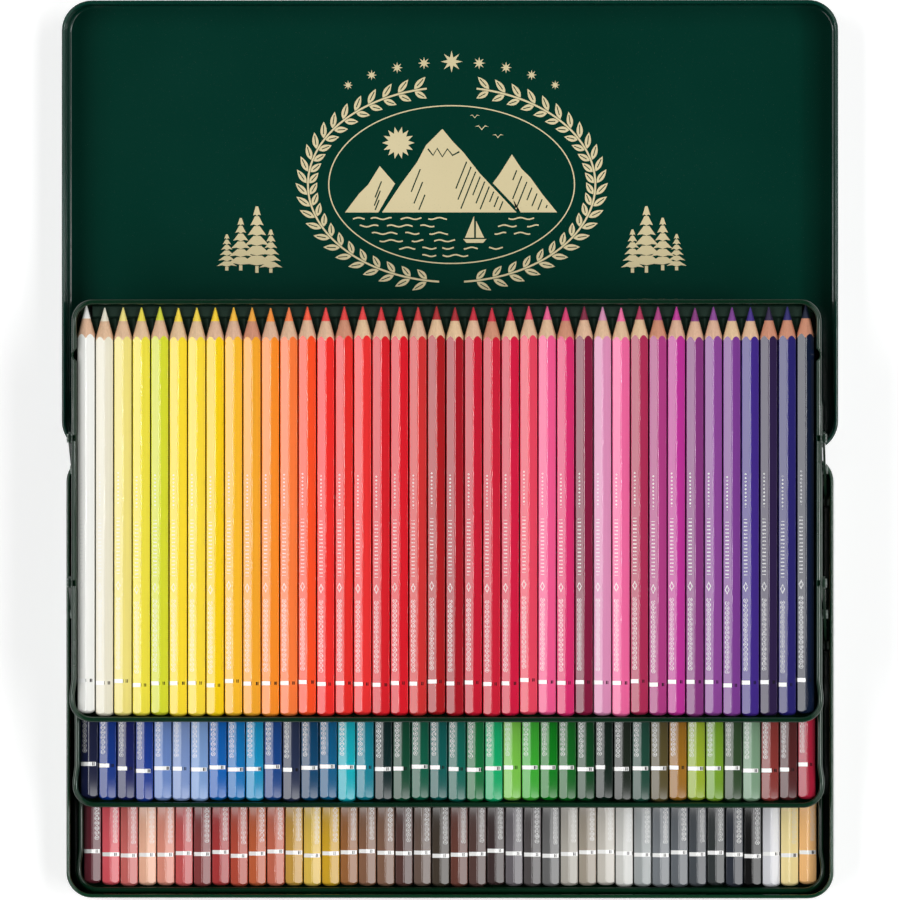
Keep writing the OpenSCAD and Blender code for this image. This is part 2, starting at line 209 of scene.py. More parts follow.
def metal(name, colour, worn, roughness):
    material, tree, shader = new_material(name)
    surface = add(tree, "ShaderNodeGroup", {"Grain": 1500.0, "Relief": 0.08}, node_tree=SURFACE)
    tree.links.new(mix(tree, surface.outputs["Clouds"], colour, worn), shader.inputs["Base Color"])
    tree.links.new(ramp(tree, surface.outputs["Clouds"], 0, 1, roughness * 0.8, roughness * 1.25),
                   shader.inputs["Roughness"])
    tree.links.new(surface.outputs["Normal"], shader.inputs["Normal"])
    shader.inputs["Metallic"].default_value = 1.0
    return material


def plastic(name, deep, bright, roughness):
    material, tree, shader = new_material(name)
    surface = add(tree, "ShaderNodeGroup", {"Grain": 2400.0, "Relief": 0.25}, node_tree=SURFACE)
    colour = mix(tree, surface.outputs["Clouds"], deep, bright)
    colour = mix(tree, calc(tree, "MULTIPLY", surface.outputs["Specks"], 0.3), colour, srgb(90, 100, 95))
    tree.links.new(colour, shader.inputs["Base Color"])
    tree.links.new(surface.outputs["Normal"], shader.inputs["Normal"])
    shader.inputs["Roughness"].default_value = roughness
    shader.inputs["Specular IOR Level"].default_value = 0.15
    return material


BOX = enamel("bottle_green_enamel", srgb(2, 50, 39), srgb(3, 53, 42), 0.2, 0.5, 0.08)
BASE = enamel("base_green_enamel", srgb(6, 50, 30), srgb(10, 58, 34), 0.25, 0.8, 0.1)
TRAY = enamel("tray_green_enamel", srgb(4, 36, 20), srgb(8, 44, 26), 0.28, 0.65, 0.06)
ARM = enamel("arm_green_enamel", srgb(14, 40, 28), srgb(20, 50, 34), 0.3, 0.8, 0.3)
STEEL = metal("hinge_nickel", srgb(196, 196, 192), srgb(180, 180, 178), 0.28)
RIVET = metal("rivet_zinc", srgb(170, 182, 174), srgb(140, 152, 146), 0.35)
LINER = plastic("liner_green_plastic", srgb(20, 42, 32), srgb(26, 48, 38), 0.6)


def dress(material, *prefixes):
    for name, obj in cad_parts.items():
        if name.startswith(prefixes):
            obj.data.materials.clear()
            obj.data.materials.append(material)


dress(BOX, "lid")
dress(BASE, "base_tin")
dress(TRAY, "tray_bottom", "tray_middle", "tray_top")
dress(ARM, "rear_arm", "front_arm")
dress(STEEL, "hinge")
dress(RIVET, "rivets", "spacers", "tray_fixings")
dress(LINER, "liner")
print("dressed", len(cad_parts), "nodes")

# %% [markdown]
# ## Tray corners
#
# The side walls of the real trays stand a little further out round the front corners than beside the swing
# arms. Each tray is copied, its loose triangles are merged, the side rails are cut across, and what lies in
# front of the cuts is eased outwards. Weighted normals then keep the walls evenly shaded.

# %% Tray corners
SWELL = 0.9
SWELL_START, SWELL_END = 19.0, 11.0
CUTS = 9
WELD = 0.000001
BODY_OF = {"bottom": "base", "middle": "middle_tray", "top": "top_tray"}


def pick(*objects):
    """Selects these objects alone and makes the first of them active."""
    bpy.ops.object.select_all(action="DESELECT")
    for obj in objects:
        obj.select_set(True)
    bpy.context.view_layer.objects.active = objects[0]


def start_edit(obj):
    pick(obj)
    bpy.ops.object.mode_set(mode="EDIT")


def end_edit():
    bpy.ops.object.mode_set(mode="OBJECT")


def swell_tray(level):
    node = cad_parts[f"tray_{level}"]
    piece = node.copy()
    piece.data = node.data.copy()
    bpy.context.scene.collection.objects.link(piece)
    piece.name = f"tray_shell_{level}"
    front = min(vertex.co.y for vertex in piece.data.vertices)
    half = max(vertex.co.x for vertex in piece.data.vertices)
    start_edit(piece)
    bpy.ops.mesh.select_all(action="SELECT")
    bpy.ops.mesh.remove_doubles(threshold=WELD)
    for k in range(CUTS):
        y = front + (SWELL_END + (SWELL_START - SWELL_END) * k / (CUTS - 1)) * MM
        bpy.ops.mesh.select_all(action="SELECT")
        bpy.ops.mesh.bisect(plane_co=(0, y, 0), plane_no=(0, 1, 0))
    end_edit()
    for vertex in piece.data.vertices:
        t = (front + SWELL_START * MM - vertex.co.y) / ((SWELL_START - SWELL_END) * MM)
        t = min(max(t, 0), 1)
        vertex.co.x += SWELL * MM * t * t * (3 - 2 * t) * (vertex.co.x / half) ** 5
    bpy.ops.object.shade_smooth_by_angle(angle=math.radians(30))
    even = piece.modifiers.new("even_walls", "WEIGHTED_NORMAL")
    even.keep_sharp = True
    even.weight = 100
    bpy.ops.object.modifier_apply(modifier=even.name)
    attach(piece, BODY_OF[level])
    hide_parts(f"tray_{level}")
    return piece


shells = [swell_tray(level) for level in BODY_OF]
print("tray shells", [len(shell.data.polygons) for shell in shells])

# %% [markdown]
# ## Pencil pigments
#
# Forty pencils to a tray, each named after its pigment. The upper tray runs from white through the yellows and
# reds to violet, the middle one through the blues and greens, and the lower one through earths to greys.

# %% Pencil pigments
TOP = [
    ("white", 245, 245, 240), ("ivory", 235, 230, 210), ("cream", 240, 225, 130),
    ("lemon", 240, 225, 70), ("cadmium lime", 215, 220, 50), ("light cadmium yellow", 250, 220, 50),
    ("light chrome yellow", 250, 220, 60), ("cadmium yellow", 250, 210, 20),
    ("dark chrome yellow", 250, 190, 45), ("naples ochre", 245, 170, 45),
    ("orange glaze", 250, 145, 40), ("cadmium orange", 250, 125, 60),
    ("dark cadmium orange", 250, 80, 35), ("scarlet", 240, 45, 40), ("light geranium", 230, 45, 40),
    ("pale vermilion", 235, 50, 50), ("geranium", 215, 30, 40), ("deep scarlet", 220, 25, 40),
    ("cadmium red", 210, 50, 50), ("carmine", 175, 25, 30), ("dark red", 170, 20, 35),
    ("alizarin", 200, 25, 50), ("madder", 205, 30, 55), ("permanent carmine", 210, 25, 65),
    ("rose carmine", 230, 70, 95), ("fuchsia", 240, 90, 145), ("purple pink", 220, 45, 110),
    ("crimson", 130, 25, 60), ("light magenta", 220, 145, 185), ("middle pink", 240, 105, 160),
    ("deep rose", 175, 45, 85), ("mauve pink", 175, 60, 130), ("magenta", 190, 50, 150),
    ("red violet", 135, 55, 125), ("manganese violet", 140, 70, 150), ("violet", 125, 60, 145),
    ("blue violet", 65, 40, 135), ("mauve", 45, 30, 70), ("deep blue", 40, 35, 110),
    ("dark indigo", 20, 30, 55),
]
MIDDLE = [
    ("night blue", 25, 30, 60), ("ultramarine", 15, 55, 140), ("indigo blue", 20, 30, 95),
    ("cobalt blue", 25, 60, 150), ("periwinkle", 110, 140, 200), ("light ultramarine", 130, 155, 205),
    ("sky blue", 130, 165, 215), ("azure", 5, 100, 185), ("phthalo blue", 5, 120, 190),
    ("light phthalo", 15, 150, 200), ("royal blue", 20, 70, 140), ("slate blue", 40, 50, 80),
    ("prussian blue", 5, 70, 110), ("greenish blue", 5, 95, 140), ("cobalt turquoise", 15, 180, 195),
    ("turquoise", 10, 135, 155), ("deep cobalt green", 5, 40, 40), ("dark phthalo green", 10, 75, 50),
    ("phthalo green", 5, 95, 70), ("viridian", 5, 95, 90), ("cobalt teal", 5, 105, 90),
    ("emerald", 5, 115, 60), ("mint green", 10, 175, 110), ("light green", 125, 200, 75),
    ("grass green", 60, 175, 50), ("leaf green", 5, 130, 25), ("deep green", 10, 105, 30),
    ("pine green", 5, 70, 30), ("dark forest green", 10, 35, 25), ("black olive", 30, 40, 30),
    ("juniper green", 30, 75, 60), ("olive umber", 90, 80, 45), ("bronze ochre", 160, 110, 30),
    ("may green", 155, 180, 45), ("lime green", 120, 165, 40), ("dark olive", 50, 75, 45),
    ("sage", 125, 160, 130), ("burnt carmine", 140, 55, 50), ("caput mortuum", 85, 35, 35),
    ("cochineal", 175, 35, 60),
]
BOTTOM = [
    ("dark wine", 105, 45, 55), ("coral red", 225, 90, 100), ("dusty rose", 210, 110, 105),
    ("flesh", 245, 190, 160), ("salmon", 230, 150, 130), ("pompeian red", 205, 90, 90),
    ("indian red", 140, 65, 65), ("brick rose", 180, 60, 60), ("venetian red", 190, 80, 60),
    ("terracotta", 200, 100, 60), ("sanguine", 205, 110, 85), ("gold ochre", 205, 160, 70),
    ("yellow ochre", 230, 195, 85), ("light ochre", 215, 170, 40), ("raw sienna", 160, 105, 60),
    ("tan", 140, 100, 75), ("raw umber", 135, 100, 80), ("walnut", 90, 60, 55),
    ("grey umber", 110, 90, 80), ("brown grey", 70, 60, 50), ("burnt sienna", 110, 65, 55),
    ("deep brown", 90, 65, 60), ("sepia", 65, 50, 50), ("bluish grey", 110, 105, 110),
    ("warm grey six", 85, 80, 80), ("warm grey four", 110, 110, 110), ("warm grey two", 185, 180, 170),
    ("beige grey", 170, 160, 145), ("warm grey one", 210, 205, 195), ("cold grey one", 215, 215, 210),
    ("cold grey two", 165, 170, 170), ("cold grey four", 125, 130, 135), ("cold grey three", 105, 110, 115),
    ("cold grey six", 75, 80, 85), ("slate", 55, 60, 60), ("anthracite", 50, 55, 65),
    # Silver, pale gold and copper are painted about a fifth lighter than their own colours. This is painted
    # light that makes up for the shade the tray wall casts at this end of the row.
    ("black", 15, 15, 15), ("silver painted lighter", 225, 225, 230), ("pale gold painted lighter", 250, 230, 165),
    ("copper painted lighter", 250, 195, 130),
]
PIGMENTS = {"top": TOP, "middle": MIDDLE, "bottom": BOTTOM}
print("pigments", {level: len(names) for level, names in PIGMENTS.items()})

# %% [markdown]
# ## Pencil finishes
#
# Every pencil carries three attributes, so that one material can serve all of them: **pigment** is its colour,
# **lay** the place of a point on the pencil in millimetres (across, back from the dipped end, up), and
# **stamp** what differs from pencil to pencil: which side the foil is stamped on, how far the stamp slipped, a
# number of its own, and how far round the white band reaches. A colour holds nothing below zero, so slip and
# reach are stored one too large. The foil is a band near the dipped end with a few dark ticks, and along one
# flat a fine chain, a lozenge and rows of short strokes and dots.

# %% Pencil finishes
BAND_AT, BAND_HALF = 14.1, 0.85
CHAIN = (19.0, 50.0)
LOZENGE_AT = 55.0
STROKES = (60.0, 84.0)
DOTS = (89.0, 104.0)
BEAT = 1.6
FLAT_MIDDLE = 1.95


def attribute(tree, name, output):
    return add(tree, "ShaderNodeAttribute", attribute_name=name).outputs[output]


def between(tree, value, low, high):
    above = calc(tree, "GREATER_THAN", value, low)
    return calc(tree, "MULTIPLY", above, calc(tree, "LESS_THAN", value, high))


def nearer(tree, value, middle, reach):
    """1 where the value lies within reach of the middle."""
    return calc(tree, "LESS_THAN", calc(tree, "ABSOLUTE", calc(tree, "SUBTRACT", value, middle)), reach)


def both(tree, *masks):
    result = masks[0]
    for mask in masks[1:]:
        result = calc(tree, "MULTIPLY", result, mask)
    return result


def either(tree, *masks):
    result = masks[0]
    for mask in masks[1:]:
        result = calc(tree, "MAXIMUM", result, mask)
    return result


def band_masks(tree, across, along, number, reach):
    ring = nearer(tree, along, BAND_AT, BAND_HALF)
    white = both(tree, ring, calc(tree, "LESS_THAN", across, reach))
    first = calc(tree, "ADD", calc(tree, "MULTIPLY", number, 0.8), 1.3)
    second = calc(tree, "ADD", first, 0.6)
    thick = calc(tree, "ADD", calc(tree, "MULTIPLY", number, 0.14), 0.14)
    short = nearer(tree, along, BAND_AT, 0.7)
    seam = nearer(tree, across, calc(tree, "ADD", reach, 0.3), 0.1)
    ticks = either(tree, nearer(tree, across, first, thick), nearer(tree, across, second, 0.18), seam)
    return white, both(tree, ticks, short)


def chain_mask(tree, along, offside):
    wave = calc(tree, "ABSOLUTE", calc(tree, "SINE", calc(tree, "MULTIPLY", along, 1.5)))
    links = nearer(tree, offside, calc(tree, "MULTIPLY", wave, 0.8), 0.17)
    beads = calc(tree, "LESS_THAN", calc(tree, "ADD", offside, calc(tree, "SUBTRACT", 1.0, wave)), 0.26)
    return either(tree, links, beads)


def line_masks(tree, across, along, up, side):
    middle = calc(tree, "SUBTRACT", calc(tree, "MULTIPLY", across, side), FLAT_MIDDLE)
    offside = calc(tree, "ABSOLUTE", middle)
    chain = both(tree, chain_mask(tree, along, offside), between(tree, along, *CHAIN))
    slope = calc(tree, "MULTIPLY", calc(tree, "ABSOLUTE", calc(tree, "SUBTRACT", along, LOZENGE_AT)), 0.5)
    lozenge = nearer(tree, calc(tree, "ADD", slope, offside), 0.85, 0.22)
    phase = calc(tree, "FRACT", calc(tree, "DIVIDE", along, BEAT))
    beat = calc(tree, "ABSOLUTE", calc(tree, "SUBTRACT", phase, 0.5))
    strokes = both(tree, calc(tree, "LESS_THAN", beat, 0.16), calc(tree, "LESS_THAN", offside, 0.75),
                   between(tree, along, *STROKES))
    dot = calc(tree, "ADD", beat, calc(tree, "MULTIPLY", offside, 0.6))
    dots = both(tree, calc(tree, "LESS_THAN", dot, 0.3), between(tree, along, *DOTS))
    return both(tree, either(tree, chain, lozenge, strokes, dots), calc(tree, "GREATER_THAN", up, 1.6))


def foil_masks(tree):
    lay = add(tree, "ShaderNodeSeparateXYZ", {0: attribute(tree, "lay", "Vector")}).outputs
    stamp = add(tree, "ShaderNodeSeparateColor", {0: attribute(tree, "stamp", "Color")}).outputs
    side = calc(tree, "MULTIPLY_ADD", stamp[0], 2.0, -1.0)
    along = calc(tree, "SUBTRACT", lay[1], calc(tree, "SUBTRACT", stamp[1], 1.0))
    reach = calc(tree, "SUBTRACT", attribute(tree, "stamp", "Alpha"), 1.0)
    white, ticks = band_masks(tree, lay[0], along, stamp[2], reach)
    drawn = line_masks(tree, lay[0], along, lay[2], side)
    worn = add(tree, "ShaderNodeTexNoise",
               {"Vector": add(tree, "ShaderNodeTexCoord").outputs["Object"], "Scale": 1800.0, "Detail": 2.0})
    drawn = both(tree, drawn, ramp(tree, worn.outputs[0], 0.3, 0.5))
    return drawn, white, ticks


def lacquer():
    material, tree, shader = new_material("pencil_lacquer")
    drawn, white, ticks = foil_masks(tree)
    streaks = add(tree, "ShaderNodeGroup", {"Across": 1400.0, "Along": 20.0}, node_tree=STREAKS).outputs[0]
    surface = add(tree, "ShaderNodeGroup", {"Grain": 1100.0, "Relief": 0.05}, node_tree=SURFACE)
    pigment = attribute(tree, "pigment", "Color")
    deeper = add(tree, "ShaderNodeHueSaturation", {"Value": 0.95, "Color": pigment}).outputs[0]
    colour = mix(tree, streaks, deeper, pigment)
    colour = mix(tree, calc(tree, "MULTIPLY", drawn, 0.75), colour, srgb(232, 232, 230))
    colour = mix(tree, white, colour, srgb(248, 248, 246))
    colour = mix(tree, ticks, colour, srgb(24, 24, 26))
    foil = both(tree, either(tree, drawn, white), calc(tree, "SUBTRACT", 1.0, ticks))
    tree.links.new(colour, shader.inputs["Base Color"])
    tree.links.new(calc(tree, "MULTIPLY", foil, 0.15), shader.inputs["Metallic"])
    tree.links.new(ramp(tree, foil, 0, 1, 0.6, 0.4), shader.inputs["Roughness"])
    tree.links.new(surface.outputs["Normal"], shader.inputs["Normal"])
    tree.links.new(add(tree, "ShaderNodeNewGeometry").outputs["Normal"], shader.inputs["Coat Normal"])
    shader.inputs["Specular IOR Level"].default_value = 0.0
    shader.inputs["Coat Weight"].default_value = 1.0
    shader.inputs["Coat Roughness"].default_value = 0.03
    shader.inputs["Coat IOR"].default_value = 1.6
    return material


def cedar():
    material, tree, shader = new_material("pencil_cedar")
    grain = add(tree, "ShaderNodeGroup", {"Across": 2600.0, "Along": 160.0}, node_tree=STREAKS).outputs[0]
    stamp = add(tree, "ShaderNodeSeparateColor", {0: attribute(tree, "stamp", "Color")}).outputs
    kind = calc(tree, "FRACT", calc(tree, "MULTIPLY", stamp[2], 13.0))
    blank = mix(tree, kind, srgb(230, 196, 154), srgb(220, 174, 148))
    red = calc(tree, "GREATER_THAN", kind, 0.86)
    blank = mix(tree, red, blank, srgb(208, 142, 112))
    darker = add(tree, "ShaderNodeHueSaturation", {"Value": 0.86, "Color": blank}).outputs[0]
    colour = mix(tree, grain, darker, blank)
    lay = add(tree, "ShaderNodeSeparateXYZ", {0: attribute(tree, "lay", "Vector")}).outputs
    turned = calc(tree, "SINE", calc(tree, "MULTIPLY", lay[1], 22.0))
    bump = add(tree, "ShaderNodeBump", {"Strength": 0.2, "Distance": 0.00004, "Height": turned}).outputs[0]
    tree.links.new(colour, shader.inputs["Base Color"])
    tree.links.new(bump, shader.inputs["Normal"])
    shader.inputs["Roughness"].default_value = 0.62
    return material


def lead():
    material, tree, shader = new_material("pencil_lead")
    surface = add(tree, "ShaderNodeGroup", {"Grain": 3000.0, "Relief": 0.3}, node_tree=SURFACE)
    pigment = attribute(tree, "pigment", "Color")
    chalky = add(tree, "ShaderNodeHueSaturation", {"Saturation": 0.95, "Value": 0.97, "Color": pigment})
    colour = mix(tree, surface.outputs["Clouds"], pigment, chalky.outputs[0])
    tree.links.new(colour, shader.inputs["Base Color"])
    tree.links.new(surface.outputs["Normal"], shader.inputs["Normal"])
    shader.inputs["Roughness"].default_value = 0.5
    return material


LACQUER, CEDAR, LEAD = lacquer(), cedar(), lead()
print("finishes", LACQUER.name, CEDAR.name, LEAD.name)

# %% [markdown]
# ## One pencil
#
# A pencil is a six-sided bar with softly broken edges, cut by a turned shape: the cone of the sharpener at one
# end and the dome of the dipped lacquer at the other. The scalloped line between lacquer and wood comes about
# by itself where the cone meets the flats. It is modelled lying along Y, tip at the back, dipped end at zero.

# %% One pencil
PENCIL_L = 175.0
PENCIL_AF = 7.4
POINT = math.tan(math.radians(15.5))
LEAD_R = 1.87
TIP_R = 0.25
LEAD_FROM = PENCIL_L - (LEAD_R - TIP_R) / POINT
EDGE_BEVEL = 0.45
CUTTER_R = 4.6
DOME = 3.4


def hexagon_bar():
    corner = PENCIL_AF / 2 / math.cos(math.radians(30))
    bpy.ops.object.select_all(action="DESELECT")
    bpy.ops.mesh.primitive_cylinder_add(
        vertices=6, radius=corner * MM, depth=(PENCIL_L + 4) * MM, location=(0, PENCIL_L / 2 * MM, 0),
        rotation=(math.radians(90), 0, 0))
    bar = bpy.context.object
    bpy.ops.object.transform_apply()
    for vertex in bar.data.vertices:
        vertex.select = False
    for edge in bar.data.edges:
        a, b = (bar.data.vertices[i].co for i in edge.vertices)
        edge.select = abs(a.y - b.y) > PENCIL_L * MM / 2
    start_edit(bar)
    bpy.ops.mesh.select_mode(type="EDGE")
    bpy.ops.mesh.bevel(offset=EDGE_BEVEL * MM, segments=4, profile=0.5)
    end_edit()
    return bar


def turned_shape():
    cone_l = (CUTTER_R - TIP_R) / POINT
    bpy.ops.object.select_all(action="DESELECT")
    bpy.ops.mesh.primitive_cone_add(
        vertices=40, radius1=CUTTER_R * MM, radius2=TIP_R * MM, depth=cone_l * MM,
        location=(0, (PENCIL_L - cone_l / 2) * MM, 0), rotation=(math.radians(-90), 0, 0))
    shape = bpy.context.object
    bpy.ops.object.transform_apply()
    start_edit(shape)
    bpy.ops.mesh.select_all(action="SELECT")
    bpy.ops.mesh.bisect(plane_co=(0, LEAD_FROM * MM, 0), plane_no=(0, 1, 0))
    bpy.ops.mesh.select_all(action="DESELECT")
    end_edit()
    base_y = (PENCIL_L - cone_l) * MM
    for face in shape.data.polygons:
        face.select = face.normal.y < -0.9 and abs(face.center.y - base_y) < 0.1 * MM
    start_edit(shape)
    bpy.ops.mesh.select_mode(type="FACE")
    bpy.ops.mesh.extrude_region_move(TRANSFORM_OT_translate={"value": (0, -base_y, 0)})
    bpy.ops.mesh.bevel(offset=DOME * MM, segments=6, profile=0.5)
    bpy.ops.mesh.select_all(action="SELECT")
    bpy.ops.mesh.normals_make_consistent(inside=False)
    end_edit()
    return shape


def model_pencil():
    bar, shape = hexagon_bar(), turned_shape()
    cut = bar.modifiers.new("sharpen", "BOOLEAN")
    cut.operation, cut.object, cut.solver = "INTERSECT", shape, "EXACT"
    pick(bar)
    bpy.ops.object.modifier_apply(modifier=cut.name)
    bpy.data.objects.remove(shape)
    mesh = bar.data
    for material in (LACQUER, CEDAR, LEAD):
        mesh.materials.append(material)
    for face in mesh.polygons:
        on_cone = face.normal.y > 0.15
        face.material_index = 0 if not on_cone else (2 if face.center.y > LEAD_FROM * MM else 1)
    lay = mesh.attributes.new("lay", "FLOAT_VECTOR", "POINT")
    for vertex, item in zip(mesh.vertices, lay.data):
        item.vector = vertex.co / MM
    bpy.ops.object.shade_smooth_by_angle(angle=math.radians(25))
    flats = bar.modifiers.new("even_flats", "WEIGHTED_NORMAL")
    flats.keep_sharp = True
    bpy.ops.object.modifier_apply(modifier=flats.name)
    bar.name = "pencil_model"
    return bar


model = model_pencil()
print("pencil faces", len(model.data.polygons), "materials", len(model.data.materials))

# %% [markdown]
# ## Filling the trays
#
# The pencil is copied to all 120 grooves. Each copy slides a little within its groove and gets its own pigment.
# All lie a little to the left, and the two outermost pencils of a tray sit further back, clear of the round
# corners. Five neighbours make one piece, as in the frame.

# %% Filling the trays
PITCH = 7.905
ROW_SHIFT = -0.4
COUNT = 40
GROUP = 5
AXIS_UP = 5.472
BACK = 87.1
TRAY_Y = -2.35
STAGE = (37.0, 23.5)
SHEET = 0.8
LEVELS = {"bottom": 0, "middle": 1, "top": 2}
dice = random.Random(7)


def groove(level, i):
    k = LEVELS[level]
    end_y = TRAY_Y + STAGE[0] * k + BACK - PENCIL_L
    return ((i - (COUNT - 1) / 2) * PITCH + ROW_SHIFT, end_y, SHEET + STAGE[1] * k + AXIS_UP)


def lay_pencil(level, i):
    colour = srgb(*PIGMENTS[level][i][1:])
    pencil = model.copy()
    pencil.data = model.data.copy()
    bpy.context.collection.objects.link(pencil)
    mesh = pencil.data
    x, y, z = groove(level, i)
    slide = 1.0 if i in (0, COUNT - 1) else dice.uniform(-0.3, 0.5)
    pencil.location = (x * MM, (y + slide) * MM, z * MM)
    side = 1.0 if level == "bottom" else 0.0
    slip = 1.0 + dice.choice((-0.8, -0.3, -0.1, 0.1, 0.2, 0.4, 0.9))
    reach = 1.0 + {"top": -0.1, "middle": dice.choice((0.6, 2.8, 3.1)), "bottom": 3.4}[level]
    stamp = (side, slip, dice.random(), reach + dice.uniform(-0.3, 0.3))
    pigment = mesh.attributes.new("pigment", "FLOAT_COLOR", "POINT")
    stamped = mesh.attributes.new("stamp", "FLOAT_COLOR", "POINT")
    for item in pigment.data:
        item.color = colour
    for item in stamped.data:
        item.color = stamp
    return pencil


def fill_group(level, number):
    first = (number - 1) * GROUP
    pick(*[lay_pencil(level, first + k) for k in range(GROUP)])
    bpy.ops.object.join()
    bpy.ops.object.transform_apply()
    piece = bpy.context.object
    piece.name = f"pencil_set_{level}_{number}"
    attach(piece, BODY_OF[level])
    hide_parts(f"pencils_{level}_{number}", f"leads_{level}")
    return piece


sets = [fill_group(level, number) for level in LEVELS for number in range(1, COUNT // GROUP + 1)]
bpy.data.objects.remove(model)
print("pencil sets", len(sets))

# %% [markdown]
# ## Printed lid
#
# The inside of the lid is printed in one cream ink. The design is made up for this model: an oval wreath round
# a lake under mountains, with a sun, birds and a sailing boat, an arc of stars above it and pines on both
# sides. Every motif is a closed flat outline. Outlines inside other outlines count as holes, which is how the
# dark lines within the cream areas are drawn. Neighbouring motifs lie a few thousandths of a millimetre apart
# in height, so that none shares a plane with another.

# %% Printed lid
INK_Z = 0.83
INK_LAYERS, INK_STEP = 6, 0.004
OVAL = (0, 212)
ink_lines = []


def outline(points):
    ink_lines[-1].append(points)


def stroke(points, width):
    """A line of even width along the points, as one closed outline."""
    left, right = [], []
    for i, (x, y) in enumerate(points):
        ahead = points[min(i + 1, len(points) - 1)]
        behind = points[max(i - 1, 0)]
        dx, dy = ahead[0] - behind[0], ahead[1] - behind[1]
        length = math.hypot(dx, dy) or 1
        nx, ny = -dy / length * width / 2, dx / length * width / 2
        left.append((x + nx, y + ny))
        right.append((x - nx, y - ny))
    outline(left + right[::-1])


def leaf(x, y, angle, length, width):
    along = (math.cos(angle), math.sin(angle))
    across = (-along[1], along[0])
    steps = [k / 8 for k in range(9)]
    upper = [(t, math.sin(math.pi * t ** 0.85) * width / 2) for t in steps]
    edge = upper + [(t, -w) for t, w in upper[-2:0:-1]]
    outline([(x + t * length * along[0] + w * across[0], y + t * length * along[1] + w * across[1])
             for t, w in edge])
    vein = [(x + t * length * along[0], y + t * length * along[1]) for t in (0.25, 0.5, 0.8)]
    stroke(vein, 0.4)


def star(x, y, size, rays=8, waist=0.4):
    points = []
    for k in range(2 * rays):
        reach = size * (1 if k % 2 == 0 else waist)
        points.append((x + math.cos(math.pi * k / rays) * reach, y + math.sin(math.pi * k / rays) * reach))
    outline(points)


def oval_point(degrees, rx, ry):
    a = math.radians(degrees)
    return (OVAL[0] + rx * math.cos(a), OVAL[1] + ry * math.sin(a))


def oval_line(rx, ry, width, start=0, stop=360):
    ink_lines.append([])
    if stop - start == 360:
        for grow in (width / 2, -width / 2):
            outline([oval_point(3 * k, rx + grow, ry + grow) for k in range(120)])
    else:
        stroke([oval_point(start + (stop - start) * k / 60, rx, ry) for k in range(61)], width)


def wreath(rx, ry, count):
    """Two branches that grow from the foot of the oval up both sides, each with leaves on both edges."""
    oval_line(rx, ry, 0.8, -85, 80)
    oval_line(rx, ry, 0.8, 100, 265)
    for side in (1, -1):
        for k in range(count):
            degrees = 90 + side * (170 - 155 * k / (count - 1))
            x, y = oval_point(degrees, rx, ry)
            ahead = oval_point(degrees - side * 2, rx, ry)
            heading = math.atan2(ahead[1] - y, ahead[0] - x)
            for edge in (1, -1):
                ink_lines.append([])
                turn = heading + edge * math.radians(38)
                start = heading + edge * math.radians(90)
                length = 7.2 if edge == side else 6.0
                leaf(x + 0.6 * math.cos(start), y + 0.6 * math.sin(start), turn, length, 2.7)


def ridge(slope, left_edge, count, lean=0.4):
    """Slanting dark lines below the shaded slope of a mountain; they end short of its left edge and foot."""
    (x0, y0), (x1, y1) = slope
    foot = y1 + 0.8
    for k in range(count):
        t = (k + 0.5) / count
        x, y = x0 + (x1 - x0) * t - 1.0, y0 + (y1 - y0) * t - 0.6
        drop = min((x - left_edge) / lean, y - foot) * (0.55 + 0.4 * (k % 3) / 2)
        if drop > 1.2:
            stroke([(x, y), (x - drop * lean, y - drop)], 0.55)


def mountains():
    ink_lines.append([])
    outline([(-30, 200), (-22, 212), (-15, 221.5), (-11, 229), (-4, 236), (1, 230), (5, 226), (12, 217),
             (20, 208.5), (28, 200)])
    stroke([(-10.2, 227.4), (-8, 224.6), (-6.2, 227.6), (-4, 224), (-1.8, 227.4), (0.4, 224.6), (3.4, 226.2)],
           0.7)
    ridge(((6.5, 223.5), (28, 200)), -2.5, 11)
    ridge(((-13, 222), (-9, 200)), -26, 4)
    ink_lines.append([])
    outline([(-46, 200), (-40, 208), (-36, 212), (-31, 220), (-27.5, 216), (-24.4, 212.4), (-31.6, 200)])
    ridge(((-29, 216), (-31, 200)), -42, 4)
    ink_lines.append([])
    outline([(29.8, 200), (21.8, 208.4), (17.8, 212.6), (21, 217), (26, 225), (30, 219), (34, 215), (39, 208),
             (45.5, 200)])
    ridge(((28, 220), (45.5, 200)), 25, 8)


def pine(x, y, height):
    ink_lines.append([])
    tiers = 6
    for k in range(tiers):
        low = y + height * (0.12 + 0.88 * k / tiers)
        tall = height * 0.88 / tiers
        half = height * 0.24 * (1 - k / tiers) + 0.5
        tip = half * 0.3
        outline([(x - half, low), (x - half * 0.45, low + 0.35), (x, low - 0.3), (x + half * 0.45, low + 0.35),
                 (x + half, low), (x + tip, low + tall - 0.35), (x - tip, low + tall - 0.35)])
    outline([(x - 0.7, y), (x + 0.7, y), (x + 0.7, y + height * 0.1), (x - 0.7, y + height * 0.1)])


def boat(x, y, size):
    ink_lines.append([])
    outline([(x - size * 0.5, y), (x + size * 0.5, y), (x + size * 0.36, y - size * 0.16),
             (x - size * 0.36, y - size * 0.16)])
    foot = y + size * 0.06
    outline([(x - size * 0.03, foot), (x - size * 0.03, y + size), (x - size * 0.42, foot)])
    outline([(x + size * 0.05, foot), (x + size * 0.05, y + size * 0.8), (x + size * 0.4, foot)])


def lake():
    for row in range(6):
        y = 197.4 - 3.2 * row
        half = 51 * math.sqrt(1 - ((y - OVAL[1]) / 32.5) ** 2) - 3
        x = -half + dice.uniform(0, 3)
        while x < half - 4:
            length = min(dice.uniform(5, 12), half - x)
            if not (x + length > 3 and x < 17 and row < 4):
                ink_lines.append([])
                stroke([(x + t, y + 0.4 * math.sin((x + t) * 0.9)) for t in range(int(length) + 1)], 0.6)
            x += length + dice.uniform(1.5, 4)


def bird(x, y, size):
    ink_lines.append([])
    outline([(x - size, y + size * 0.34), (x - size * 0.45, y + size * 0.5), (x, y),
             (x + size * 0.45, y + size * 0.5), (x + size, y + size * 0.34), (x + size * 0.45, y + size * 0.34),
             (x, y - size * 0.2), (x - size * 0.45, y + size * 0.34)])


